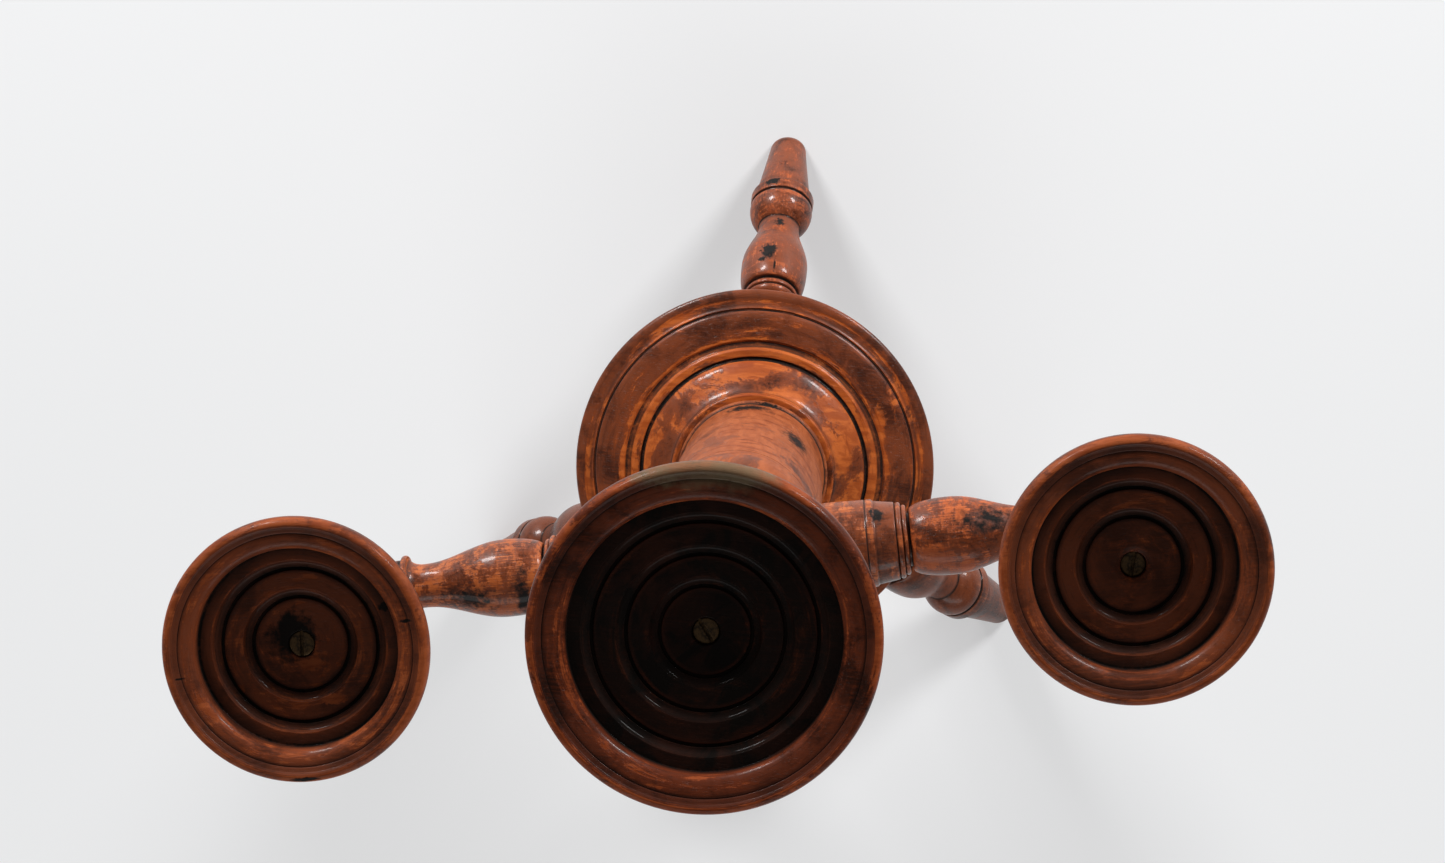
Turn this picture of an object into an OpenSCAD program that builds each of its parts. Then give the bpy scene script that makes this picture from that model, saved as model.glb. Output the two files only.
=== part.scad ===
// Turned wooden tripod stand with three cups: a moulded disc on three splayed
// legs, a column, a cross-arm that turns on the column's spigot, and a cup on
// a stem at each arm end and over the middle. Millimetres, +Z up, floor at z = 0.

/* [Heights] */
// Height of the centre cup's rim above the floor
total_h = 481; // [476:1:490]
// How far the side cups' rims are below the centre cup's rim
side_drop = 47.3; // [42:0.1:50]
// Height of the cross-arm's axis
arm_h = 326.5; // [322:0.5:330]
// Height of the disc's widest edge
disc_h = 91.5; // [91:0.1:92.5]

/* [Cups] */
// Outer radius of the centre cup
centre_cup_r = 55; // [53:0.5:60]
// Outer radius of a side cup
side_cup_r = 43.9; // [42.4:0.1:48]
// Radius of a screw head
screw_r = 4.2; // [3.8:0.1:4.4]

/* [Cross-arm] */
// Distance from the column's axis to a side cup's axis
arm_reach = 136.1; // [134:0.1:142]
// Turn of the cross-arm from square to the back leg, in degrees
arm_turn = 11; // [-30:1:30]
// Radius of the hub's barrel
barrel_r = 15.7; // [15:0.1:16.4]

/* [Column] */
// Radius of the column at its foot
column_r = 32.4; // [31:0.2:34]
// Radius of the spigot that the cross-arm turns on
spigot_r = 8; // [7:0.5:8.5]

/* [Disc] */
// Outer radius of the disc
disc_r = 78.3; // [77.5:0.1:82]

/* [Legs] */
// Slope of each leg's axis away from upright, in degrees
splay = 41.4; // [40.8:0.1:42]
// Height at which the legs' axes would meet
apex_h = 152.8; // [152:0.1:154]
// Greatest radius of a leg's bulb
bulb_r = 14.7; // [13.5:0.1:16]

/* [Hidden] */
$fn = 96;
steps = 8;              // straight pieces in each curved stretch of an outline
glue_gap = 0.05;        // between a glued tenon and its socket, all round
turn_gap = 0.05;        // running clearance of the cross-arm on its spigot
thrust_gap = 0.3;       // between the hub's flat faces and the turned faces above and below
cut_over = 1;           // how far a cutting tool runs past the face that it opens
wood = [0.42, 0.17, 0.08];
dark_wood = [0.27, 0.11, 0.06];
metal = [0.45, 0.36, 0.2];

// ---- strokes of a turned outline: lists of [radius, height] points ----

// From a to b, leaving and arriving parallel to the axis
function ogee(a, b) = [
    for (i = [0:steps]) let (t = i / steps)
        [a[0] + (b[0] - a[0]) * (1 - cos(180 * t)) / 2, a[1] + (b[1] - a[1]) * t]
];
// From a to b, leaving square to the axis and arriving parallel to it
function quarter_out(a, b) = [
    for (i = [0:steps]) let (t = 90 * i / steps)
        [a[0] + (b[0] - a[0]) * sin(t), a[1] + (b[1] - a[1]) * (1 - cos(t))]
];
// From a to b, leaving parallel to the axis and arriving square to it
function quarter_in(a, b) = [
    for (i = [0:steps]) let (t = 90 * i / steps)
        [a[0] + (b[0] - a[0]) * (1 - cos(t)), a[1] + (b[1] - a[1]) * sin(t)]
];
// A half-round that swells by h on radius r between heights z0 and z1
function bead(r, z0, z1, h) = [
    for (i = [0:steps]) let (t = 180 * i / steps)
        [r + h * sin(t), (z0 + z1) / 2 - (z1 - z0) / 2 * cos(t)]
];
// Part of a ball of radius r centred at height z, from start degrees below its middle up to the middle
function ball(r, z, start) = [
    for (i = [0:steps]) let (t = start * (1 - i / steps))
        [r * cos(t), z - r * sin(t)]
];

// Solid turned from an outline that starts and ends on the axis
module turned(outline) {
    rotate_extrude() polygon(outline);
}

// ---- disc: heights are measured from its widest edge ----
disc_bottom = -7.2;
seat_rise = 22.7;       // where the column stands
foot_tenon_r = 12;
socket_r = 5.5;
shoulder_r = 8.2;
shoulder_clear = 0.3;   // between a leg's shoulder and the edge of its seat
shoulder_s = 91;        // distance along a leg's axis from the apex to its shoulder
tenon_len = 11;

function disc_outline() = concat(
    [[0, disc_bottom], [disc_r - 10, disc_bottom]],
    quarter_out([disc_r - 7.5, disc_bottom + 1.5], [disc_r, 0]),
    quarter_in([disc_r, 0.5], [disc_r - 3.4, 2.5]),
    quarter_out([disc_r - 4.2, 2.5], [disc_r - 7.8, 4.1]),
    [[disc_r - 8.2, 3.8], [disc_r - 9, 3.9]],
    quarter_in([disc_r - 9, 4.5], [disc_r - 15.8, 6.5]),
    [[disc_r - 21.4, 7]],
    quarter_out([disc_r - 22.2, 6.5], [disc_r - 25, 8.1]),
    [[disc_r - 25.7, 8.6], [disc_r - 28.6, 8.8], [disc_r - 29.1, 8.2], [disc_r - 29.9, 8.4]],
    ogee([disc_r - 30.2, 9], [column_r + 2.7, seat_rise - 2.8]),
    [[column_r + 2.7, seat_rise - 2], [column_r + 1.6, seat_rise - 1.8]],
    bead(column_r + 1.6, seat_rise - 1.6, seat_rise, 1),
    [[0, seat_rise]]
);

// Places a child made along +Z from the apex on a leg's axis, pointing down and out
module on_leg(azimuth) {
    translate([0, 0, apex_h]) rotate([0, 0, azimuth]) rotate([0, 180 - splay, 0]) children();
}

back_azimuth = 90;
leg_azimuths = [back_azimuth, back_azimuth + 120, back_azimuth + 240];
seat_cut = 30;          // length of the tool that cuts the seat of a leg's shoulder

module base_disc() {
    color(wood) difference() {
        translate([0, 0, disc_h]) turned(disc_outline());
        translate([0, 0, disc_h + disc_bottom - cut_over])
            cylinder(h = seat_rise - disc_bottom + 2 * cut_over, r = foot_tenon_r + glue_gap);
        for (azimuth = leg_azimuths) on_leg(azimuth) {
            translate([0, 0, shoulder_s - tenon_len - glue_gap])
                cylinder(h = tenon_len + cut_over, r = socket_r + glue_gap);
            translate([0, 0, shoulder_s]) cylinder(h = seat_cut, r = shoulder_r + shoulder_clear);
        }
    }
}

// ---- column: one thick turned length, a neck, and the spigot ----
seat_h = disc_h + seat_rise;
hub_half = 16.5;        // half the height of the hub's upright drum
shoulder_h = arm_h - hub_half - thrust_gap;
spigot_rise = 28;       // how far the spigot stands up into the centre stem
spigot_top = arm_h + hub_half + spigot_rise;
waist_r = column_r - 2.8;
line_rise = 52;         // scribed line, above the seat
ring_rise = 144;        // turned ring, above the seat
body_top = shoulder_h - 39.4;
neck_h = shoulder_h - 23.8;
neck_r = 12.8;
collar_r = 15.6;
kerf = 2.4;
kerf_depth = 20;

function column_outline() = concat(
    [[0, seat_h], [column_r - 0.8, seat_h]],
    bead(column_r - 0.8, seat_h, seat_h + 3.2, 0.8),
    [[column_r - 1.2, seat_h + 3.5]],
    ogee([column_r - 1.4, seat_h + 4], [column_r - 2.3, seat_h + 18.5]),
    [[column_r - 1.4, seat_h + line_rise], [column_r - 1.9, seat_h + line_rise + 0.7]],
    [[column_r - 1.4, seat_h + line_rise + 1.4]],
    ogee([column_r - 1.5, seat_h + line_rise + 3], [waist_r, seat_h + ring_rise - 0.8]),
    [[waist_r - 0.9, seat_h + ring_rise], [waist_r, seat_h + ring_rise + 0.8]],
    quarter_in([waist_r + 0.2, body_top], [neck_r + 5.2, neck_h]),
    [[neck_r + 4.3, neck_h + 0.2], [neck_r + 4.3, neck_h + 1.5]],
    ogee([neck_r + 2.5, neck_h + 2], [neck_r, neck_h + 10]),
    ogee([neck_r, neck_h + 11], [collar_r, neck_h + 18]),
    bead(collar_r, neck_h + 18.4, neck_h + 22.6, 1.4),
    [[collar_r, shoulder_h], [0, shoulder_h]]
);

module column() {
    color(wood) union() {
        turned(column_outline());
        translate([0, 0, shoulder_h - cut_over])
            cylinder(h = spigot_top - shoulder_h + cut_over, r = spigot_r);
        difference() {
            translate([0, 0, disc_h + disc_bottom])
                cylinder(h = seat_h - disc_h - disc_bottom + cut_over, r = foot_tenon_r);
            translate([-foot_tenon_r, -kerf / 2, disc_h + disc_bottom - cut_over])
                cube([2 * foot_tenon_r, kerf, kerf_depth + cut_over]);
        }
    }
}

module column_wedge() {
    color(wood) intersection() {
        translate([-foot_tenon_r, -kerf / 2 + glue_gap, disc_h + disc_bottom])
            cube([2 * foot_tenon_r, kerf - 2 * glue_gap, kerf_depth - 1]);
        translate([0, 0, disc_h + disc_bottom]) cylinder(h = kerf_depth, r = foot_tenon_r);
    }
}

// ---- legs: heights are distances along the axis from the apex ----
leg_ring_r = 11.4;
leg_ring_s = 105;
bulb_s = 126.3;
waist_s = 153;
ball_r = 14.15;
ball_s = 164.5;
ball_start = 49;        // where the ball leaves the waist, in degrees below its middle
flange_s = 167.2;
foot_r = 8.3;
foot_end_s = 208.5;
floor_cut = 60;         // size of the tool that levels a foot

function leg_outline() = concat(
    [[0, shoulder_s - tenon_len], [socket_r - 0.6, shoulder_s - tenon_len]],
    [[socket_r, shoulder_s - tenon_len + 0.6], [socket_r, shoulder_s], [shoulder_r - 0.4, shoulder_s]],
    bead(shoulder_r - 0.4, shoulder_s, shoulder_s + 2.4, 0.4),
    ogee([shoulder_r - 0.5, shoulder_s + 3], [shoulder_r, leg_ring_s - 1]),
    quarter_out([shoulder_r + 0.2, leg_ring_s], [leg_ring_r, leg_ring_s + 3.4]),
    [[leg_ring_r - 0.8, leg_ring_s + 4.1]],
    bead(leg_ring_r, leg_ring_s + 4.6, leg_ring_s + 6.6, 0.4),
    [[leg_ring_r - 0.6, leg_ring_s + 7.3]],
    quarter_out([leg_ring_r + 0.7, leg_ring_s + 8], [bulb_r, bulb_s]),
    ogee([bulb_r, bulb_s + 2.2], [9.2, waist_s]),
    ball(ball_r, ball_s, ball_start),
    [[ball_r - 0.1, ball_s + 1.4], [ball_r - 1, ball_s + 2], [ball_r - 0.8, flange_s]],
    [[ball_r, flange_s + 0.5], [ball_r + 0.15, flange_s + 5.2], [ball_r - 1.1, flange_s + 5.8]],
    quarter_out([ball_r - 1.2, flange_s + 6], [ball_r - 2.2, flange_s + 10]),
    [[ball_r - 3.85, flange_s + 21.8], [foot_r, foot_end_s - 4.5]],
    quarter_in([foot_r, foot_end_s - 4.4], [foot_r - 3.8, foot_end_s]),
    [[0, foot_end_s]]
);

module leg(azimuth) {
    foot_reach = apex_h * tan(splay);
    color(wood) difference() {
        on_leg(azimuth) turned(leg_outline());
        rotate([0, 0, azimuth]) translate([foot_reach - floor_cut / 2, -floor_cut / 2, -floor_cut])
            cube(floor_cut);
    }
}

module leg_back() {
    leg(leg_azimuths[0]);
}

module leg_left() {
    leg(leg_azimuths[1]);
}

module leg_right() {
    leg(leg_azimuths[2]);
}

// ---- hub and arms, drawn along +X and then turned with the cross-arm ----
module on_cross_arm() {
    rotate([0, 0, arm_turn]) translate([0, 0, arm_h]) children();
}

// A child turned along +Z is laid along +X (side = 1) or -X (side = -1)
module along_arm(side) {
    rotate([0, 90 * side, 0]) children();
}

hub_end = 64.5;
arm_tenon_r = 6.5;
arm_tenon_len = 22;
drum_r = 11.4;          // upright drum at the foot of each side stem
arm_end = arm_reach - drum_r - 0.1;
stem_tenon_r = 5.5;
stem_tenon_end = arm_reach - 3;
lip_s = 114.8;          // lip where the arm's neck ends
arm_end_r = 10;

function hub_half_outline() = concat(
    [[0, 0], [barrel_r, 0], [barrel_r + 0.2, hub_end - 27.6], [barrel_r, hub_end - 12]],
    [[barrel_r - 0.7, hub_end - 11.4], [barrel_r - 1.8, hub_end - 4.1]],
    bead(barrel_r - 2.8, hub_end - 3.7, hub_end - 1.8, 0.8),
    bead(barrel_r - 3.8, hub_end - 1.7, hub_end, 0.7),
    [[0, hub_end]]
);

module hub() {
    color(wood) on_cross_arm() difference() {
        union() {
            for (side = [-1, 1]) along_arm(side) turned(hub_half_outline());
            translate([0, 0, -hub_half]) cylinder(h = 2 * hub_half, r = barrel_r + 0.4);
        }
        translate([0, 0, -hub_half - cut_over])
            cylinder(h = 2 * (hub_half + cut_over), r = spigot_r + turn_gap);
        for (side = [-1, 1]) along_arm(side) translate([0, 0, hub_end - arm_tenon_len - cut_over])
            cylinder(h = arm_tenon_len + 2 * cut_over, r = arm_tenon_r + glue_gap);
    }
}

function arm_outline() = concat(
    [[0, hub_end - arm_tenon_len], [arm_tenon_r, hub_end - arm_tenon_len]],
    [[arm_tenon_r, hub_end], [9.6, hub_end], [9.6, hub_end + 1.1]],
    quarter_out([10.7, hub_end + 1.1], [14, hub_end + 14.8]),
    ogee([14, hub_end + 15.7], [7.9, lip_s - 5.6]),
    quarter_in([7.9, lip_s - 5.2], [11.2, lip_s]),
    bead(11, lip_s, lip_s + 2, 0.6),
    [[arm_end_r, lip_s + 2.4], [arm_end_r, arm_end]],
    [[stem_tenon_r, arm_end], [stem_tenon_r, stem_tenon_end], [0, stem_tenon_end]]
);

module arm(side) {
    color(wood) on_cross_arm() along_arm(side) turned(arm_outline());
}

module arm_left() {
    arm(-1);
}

module arm_right() {
    arm(1);
}

// ---- stems: heights are measured from the cross-arm's axis or the stem's own foot ----
side_rim_h = total_h - side_drop;
side_boss = 31;         // underside of a side cup's boss, below its rim
centre_boss = 36;
side_stem_h = side_rim_h - side_boss - arm_h;
pendant = 30;           // how far a side stem's finial hangs down
drum_half = 9.6;
cup_tenon_r = 7;
centre_tenon_r = 9;
cup_tenon_len = 9.5;
pilot_r = 2.25;
pilot_len = 30;

function side_stem_outline(top) = concat(
    [[0, -pendant]],
    quarter_out([0, -pendant], [6.6, -pendant + 6.5]),
    quarter_in([6.6, -pendant + 7.4], [4, -drum_half - 6.9]),
    quarter_out([4, -drum_half - 6.2], [9.8, -drum_half - 3]),
    bead(9.8, -drum_half - 3, -drum_half - 0.4, 1),
    [[drum_r, -drum_half], [drum_r, drum_half]],
    bead(9.8, drum_half + 0.4, drum_half + 3.4, 1.4),
    ogee([9.8, drum_half + 3.8], [6.8, drum_half + 9.4]),
    quarter_out([6.8, drum_half + 10.4], [12.6, drum_half + 24.4]),
    ogee([12.6, drum_half + 25.4], [6.4, top - 20]),
    bead(6.6, top - 19.4, top - 16.4, 2.2),
    [[6.4, top - 16]],
    quarter_in([6.4, top - 13.6], [12, top - 3]),
    [[12.4, top - 2.6], [12.4, top], [cup_tenon_r, top]],
    [[cup_tenon_r, top + cup_tenon_len], [0, top + cup_tenon_len]]
);

module side_stem(side) {
    socket_start = arm_reach - stem_tenon_end - 0.5;
    color(wood) on_cross_arm() translate([side * arm_reach, 0, 0]) difference() {
        turned(side_stem_outline(side_stem_h));
        rotate([0, -90 * side, 0]) translate([0, 0, socket_start])
            cylinder(h = drum_r + cut_over, r = stem_tenon_r + glue_gap);
        translate([0, 0, side_stem_h + cup_tenon_len - pilot_len])
            cylinder(h = pilot_len + cut_over, r = pilot_r);
    }
}

module stem_left() {
    side_stem(-1);
}

module stem_right() {
    side_stem(1);
}

stem_foot_h = arm_h + hub_half + thrust_gap;
stem_top_h = total_h - centre_boss;

function centre_stem_outline(top) = concat(
    [[0, 0], [14.6, 0]],
    bead(14.6, 0, 5, 1.4),
    ogee([14.6, 5.6], [11.8, 13]),
    quarter_out([11.8, 14.4], [16.8, 32]),
    ogee([16.8, 33], [8.4, top - 31]),
    bead(8.8, top - 30.4, top - 26.4, 2.6),
    [[8.4, top - 25.8]],
    quarter_in([8.4, top - 22], [14.6, top - 4]),
    [[15.2, top - 3.4], [15.2, top], [centre_tenon_r, top]],
    [[centre_tenon_r, top + cup_tenon_len], [0, top + cup_tenon_len]]
);

module centre_stem() {
    color(wood) difference() {
        translate([0, 0, stem_foot_h]) turned(centre_stem_outline(stem_top_h - stem_foot_h));
        translate([0, 0, stem_foot_h - cut_over])
            cylinder(h = spigot_top - stem_foot_h + 2 * cut_over, r = spigot_r + glue_gap);
        translate([0, 0, stem_top_h + cup_tenon_len - pilot_len])
            cylinder(h = pilot_len + cut_over, r = pilot_r);
    }
}

// ---- cups: heights are measured down from the rim's crest ----
ledge_depth = 8.5;      // flat at the foot of the inner wall
step_drop = 2.3;        // from one ring of the floor to the next one in
groove_deep = 1.1;
cove_w = 2.6;
groove_w = 1;

// One step of the floor: the arris at radius a, its cove and the groove at its foot
function floor_step(a, z) = concat(
    quarter_in([a, z], [a - cove_w, z - step_drop]),
    [[a - cove_w, z - step_drop - groove_deep], [a - cove_w - groove_w, z - step_drop - groove_deep]],
    [[a - cove_w - groove_w, z - step_drop]]
);

function floor_steps(arrises, i = 0) = i >= len(arrises) ? [] : concat(
    floor_step(arrises[i], -ledge_depth - i * step_drop),
    floor_steps(arrises, i + 1)
);

wall_top = -4.4;        // where the upright inner wall starts
boss_ring = 3;

function cup_outline(r, wall_r, boss_r, boss, arrises) = concat(
    [[0, -boss], [boss_r, -boss], [boss_r, -boss + boss_ring]],
    ogee([boss_r + 0.6, -boss + boss_ring + 1], [r - 6, -10]),
    [[r - 3, -9.4], [r - 3, -8.4]],
    quarter_out([r - 2.4, -8], [r, -4]),
    quarter_in([r, -3.4], [r - 2.4, 0]),
    [[r - 2.9, -0.1]],
    ogee([r - 3.6, -0.8], [r - 5.4, -1.5]),
    [[r - 6.8, -1.4]],
    quarter_in([wall_r + 3.2, -1.8], [wall_r + 0.6, -2.4]),
    quarter_out([wall_r + 0.6, -2.4], [wall_r, wall_top]),
    [[wall_r, -ledge_depth]],
    floor_steps(arrises),
    [[0, -ledge_depth - len(arrises) * step_drop]]
);

shank_clear = 2.4;      // radius of the screw's hole through a cup's floor
seat_clear = 0.15;      // between a screw head and its sunk seat
bevel_deep = 0.7;
shank_cut = 20;

// Hole for the screw through the cup's floor, at the floor's level z = 0
module screw_seat(sink, bevel) {
    translate([0, 0, -sink]) cylinder(h = sink + cut_over, r = screw_r + seat_clear);
    translate([0, 0, -shank_cut]) cylinder(h = shank_cut + cut_over, r = shank_clear);
    translate([0, 0, -bevel_deep])
        cylinder(h = bevel_deep + glue_gap, r1 = screw_r + seat_clear, r2 = screw_r + bevel);
}

side_arrises = [28.8, 19];
centre_arrises = [38.4, 27.9, 17.6];
side_floor = ledge_depth + len(side_arrises) * step_drop;
centre_floor = ledge_depth + len(centre_arrises) * step_drop;
left_sink = 2.2;
right_sink = 4;
centre_sink = 2.6;

side_boss_r = 14.2;
centre_boss_r = 17.8;
side_wall = 10.6;       // from a side cup's outer edge in to its upright inner wall
centre_wall = 12.2;
tenon_room = 0.5;       // above a cup stem's tenon, in its socket

module side_cup(side, sink, bevel) {
    color(dark_wood) on_cross_arm() translate([side * arm_reach, 0, side_rim_h - arm_h]) difference() {
        turned(cup_outline(side_cup_r, side_cup_r - side_wall, side_boss_r, side_boss, side_arrises));
        translate([0, 0, -side_boss - cut_over])
            cylinder(h = cup_tenon_len + tenon_room + cut_over, r = cup_tenon_r + glue_gap);
        translate([0, 0, -side_floor]) screw_seat(sink, bevel);
    }
}

module cup_left() {
    side_cup(-1, left_sink, 0.4);
}

module cup_right() {
    side_cup(1, right_sink, 2);
}

module centre_cup() {
    color(dark_wood) translate([0, 0, total_h]) difference() {
        turned(cup_outline(
            centre_cup_r, centre_cup_r - centre_wall, centre_boss_r, centre_boss, centre_arrises
        ));
        translate([0, 0, -centre_boss - cut_over])
            cylinder(h = cup_tenon_len + tenon_room + cut_over, r = centre_tenon_r + glue_gap);
        translate([0, 0, -centre_floor]) screw_seat(centre_sink, 0.4);
    }
}

// ---- screws: the head's underside is at z = 0 ----
head_h = 2;
slot_w = 1.1;
slot_deep = 0.9;
shank_len = 26;
left_slot_turn = 85;
right_slot_turn = 76;
centre_slot_turn = 126;

module screw(slot_turn) {
    rotate([0, 0, slot_turn]) difference() {
        union() {
            cylinder(h = head_h, r = screw_r);
            translate([0, 0, -shank_len]) cylinder(h = shank_len + head_h / 2, r = pilot_r - glue_gap);
        }
        translate([-screw_r - cut_over, -slot_w / 2, head_h - slot_deep])
            cube([2 * (screw_r + cut_over), slot_w, slot_deep + cut_over]);
    }
}

module side_screw(side, sink, slot_turn) {
    color(metal) on_cross_arm() translate([side * arm_reach, 0, side_rim_h - arm_h - side_floor - sink])
        screw(slot_turn);
}

module screw_left() {
    side_screw(-1, left_sink, left_slot_turn);
}

module screw_right() {
    side_screw(1, right_sink, right_slot_turn);
}

module centre_screw() {
    color(metal) translate([0, 0, total_h - centre_floor - centre_sink]) screw(centre_slot_turn);
}

base_disc();
column();
column_wedge();
leg_back();
leg_left();
leg_right();
centre_stem();
centre_cup();
centre_screw();
hub();
arm_left();
arm_right();
stem_left();
stem_right();
cup_left();
cup_right();
screw_left();
screw_right();
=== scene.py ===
"""Visual model of the turned tripod stand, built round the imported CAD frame.

Outlines are in millimetres, as lists of (radius, height) points along each
piece's own axis; everything in the scene is in metres.
"""
import math
import random

import bmesh
import bpy
import numpy as np
from mathutils import Matrix, Vector


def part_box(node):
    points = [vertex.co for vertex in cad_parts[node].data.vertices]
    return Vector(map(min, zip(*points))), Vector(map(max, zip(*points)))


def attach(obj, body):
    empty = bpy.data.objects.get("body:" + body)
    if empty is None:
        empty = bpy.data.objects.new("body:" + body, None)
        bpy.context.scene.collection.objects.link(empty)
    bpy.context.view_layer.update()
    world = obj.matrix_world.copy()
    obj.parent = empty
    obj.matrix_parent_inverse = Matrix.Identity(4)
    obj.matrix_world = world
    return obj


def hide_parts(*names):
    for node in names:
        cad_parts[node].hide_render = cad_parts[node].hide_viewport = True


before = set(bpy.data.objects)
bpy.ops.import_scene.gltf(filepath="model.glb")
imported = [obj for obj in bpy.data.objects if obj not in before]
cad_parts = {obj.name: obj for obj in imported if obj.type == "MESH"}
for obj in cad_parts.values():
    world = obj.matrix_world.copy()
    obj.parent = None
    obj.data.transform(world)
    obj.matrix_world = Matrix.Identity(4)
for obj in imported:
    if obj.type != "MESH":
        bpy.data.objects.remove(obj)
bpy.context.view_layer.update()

MM = 0.001
CURVE_STEPS = 20
NO_WEAR = 0.12
LEG_TURNS = {"leg_back": 90, "leg_left": 210, "leg_right": 330}
SPLAY = 41.4
APEX_H = 152.8  # where the legs' axes meet, on the column's axis
ARM_TURN = 11
HUB_GAP = 0.3
MORTISE_R = 12.05
SPIGOT_BORE_R = 8.05
HUB_DRUM_R = 16.1


# ---------------------------------------------------------------- sizes

def top_mm(node):
    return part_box(node)[1].z / MM


def bottom_mm(node):
    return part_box(node)[0].z / MM


def middle_mm(node):
    low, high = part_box(node)
    return (low + high) / 2 / MM


RIM_H = top_mm("centre_cup")
SIDE_RIM_H = top_mm("cup_left")
CENTRE_CUP_R = (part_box("centre_cup")[1].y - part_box("centre_cup")[0].y) / 2 / MM
SIDE_CUP_R = (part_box("cup_left")[1].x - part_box("cup_left")[0].x) / 2 / MM
DISC_BOTTOM = bottom_mm("base_disc")
DISC_H = DISC_BOTTOM + 7.2
SEAT_H = top_mm("base_disc")
DISC_R = (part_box("base_disc")[1].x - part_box("base_disc")[0].x) / 2 / MM
ARM_H = (top_mm("hub") + bottom_mm("hub")) / 2
HUB_HALF = (top_mm("hub") - bottom_mm("hub")) / 2
ARM_REACH = middle_mm("cup_right").xy.length
SPIGOT_TOP = top_mm("column")
COLUMN_R = 32.4
STEM_FOOT_H = bottom_mm("centre_stem")
CENTRE_BOSS = RIM_H - bottom_mm("centre_cup")
SIDE_BOSS = SIDE_RIM_H - bottom_mm("cup_left")


# ---------------------------------------------------------------- outlines

def stretch(a, b, radius_law, height_law):
    steps = [i / CURVE_STEPS for i in range(CURVE_STEPS + 1)]
    return [
        (a[0] + (b[0] - a[0]) * radius_law(t), a[1] + (b[1] - a[1]) * height_law(t))
        for t in steps
    ]


def ogee(a, b):
    """Leaves and arrives parallel to the axis."""
    return stretch(a, b, lambda t: (1 - math.cos(math.pi * t)) / 2, lambda t: t)


def quarter_out(a, b):
    """Leaves square to the axis and arrives parallel to it."""
    half = math.pi / 2
    return stretch(a, b, lambda t: math.sin(half * t), lambda t: 1 - math.cos(half * t))


def quarter_in(a, b):
    """Leaves parallel to the axis and arrives square to it."""
    half = math.pi / 2
    return stretch(a, b, lambda t: 1 - math.cos(half * t), lambda t: math.sin(half * t))


def bead(radius, low, high, swell):
    """A half-round that stands out by swell."""
    points = []
    for i in range(CURVE_STEPS + 1):
        t = math.pi * i / CURVE_STEPS
        points.append((radius + swell * math.sin(t), (low + high) / 2 - (high - low) / 2 * math.cos(t)))
    return points


class Outline:
    """A turned outline: points in millimetres, each with how bare of stain and how darkened by painted shade
    and grime it is, 0 to 1.
    """

    def __init__(self):
        self.points = []
        self.tones = []

    def add(self, points, bare=NO_WEAR, shade_and_grime=0.0):
        self.points += [tuple(p) for p in points]
        self.tones += [(bare, shade_and_grime)] * len(points)
        return self

    def lifted(self, height):
        self.points = [(r, z + height) for r, z in self.points]
        return self


def without_repeats(points, tones, closed):
    kept = [0]
    for i in range(1, len(points)):
        if math.dist(points[i], points[kept[-1]]) > 0.01:
            kept.append(i)
    if closed and math.dist(points[kept[0]], points[kept[-1]]) < 0.01:
        kept.pop()
    return [points[i] for i in kept], [tones[i] for i in kept]


def softened(points, tones, closed, radius):
    """Rounds each corner over about the given length, as sanding and handling do."""
    out, out_tones = [], []
    count = len(points)
    for i, p in enumerate(points):
        before, after = Vector(points[i - 1]), Vector(points[(i + 1) % count])
        here = Vector(p)
        into, away = here - before, after - here
        at_end = (not closed and i in (0, count - 1)) or p[0] < 1e-6
        turn = into.angle(away) if not at_end and into.length and away.length else 0
        if turn < math.radians(14):
            out.append(p)
            out_tones.append(tones[i])
            continue
        start = here - into.normalized() * min(radius, into.length * 0.45)
        end = here + away.normalized() * min(radius, away.length * 0.45)
        for k in range(6):
            t = k / 5
            q = start * (1 - t) ** 2 + here * (2 * t * (1 - t)) + end * t * t
            out.append((q.x, q.y))
            out_tones.append(tones[i])
    return out, out_tones


def resampled(points, tones, closed, longest):
    """Splits long straight stretches, so that wear and colour have points to sit on."""
    out, out_tones = [], []
    count = len(points)
    last = count if closed else count - 1
    for i in range(last):
        a, b = Vector(points[i]), Vector(points[(i + 1) % count])
        tone_a, tone_b = Vector(tones[i]), Vector(tones[(i + 1) % count])
        parts = max(1, math.ceil((b - a).length / longest))
        for k in range(parts):
            out.append(tuple(a.lerp(b, k / parts)))
            out_tones.append(tuple(tone_a.lerp(tone_b, k / parts)))
    if not closed:
        out.append(points[-1])
        out_tones.append(tones[-1])
    return out, out_tones


def hollowness(points, closed, reach=1.6):
    """For each point, how far it lies inside (+) or proud (-) of the outline round about it, in mm."""
    p = np.array(points)
    count = len(p)
    nxt, prv = np.roll(p, -1, 0), np.roll(p, 1, 0)
    if not closed:
        nxt[-1], prv[0] = p[-1], p[0]
    along = nxt - prv
    length = np.maximum(np.linalg.norm(along, axis=1), 1e-9)
    normal = np.stack([along[:, 1], -along[:, 0]], 1) / length[:, None]
    gap = np.linalg.norm(nxt - p, axis=1)
    weight = (np.linalg.norm(p - prv, axis=1) + gap) / 2
    hollow = np.zeros(count)
    for i in range(count):
        near = np.abs(np.arange(count) - i)
        if closed:
            near = np.minimum(near, count - near)
        distance = np.linalg.norm(p - p[i], axis=1)
        share = np.where((distance < reach * 1.5) & (near < 90), np.exp(-(distance / reach) ** 2) * weight, 0)
        mean = (p * share[:, None]).sum(0) / max(share.sum(), 1e-9)
        hollow[i] = (mean - p[i]) @ normal[i]
    return hollow


# ---------------------------------------------------------------- meshes

def link(name, mesh):
    piece = bpy.data.objects.new(name, mesh)
    bpy.context.scene.collection.objects.link(piece)
    return piece


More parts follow.
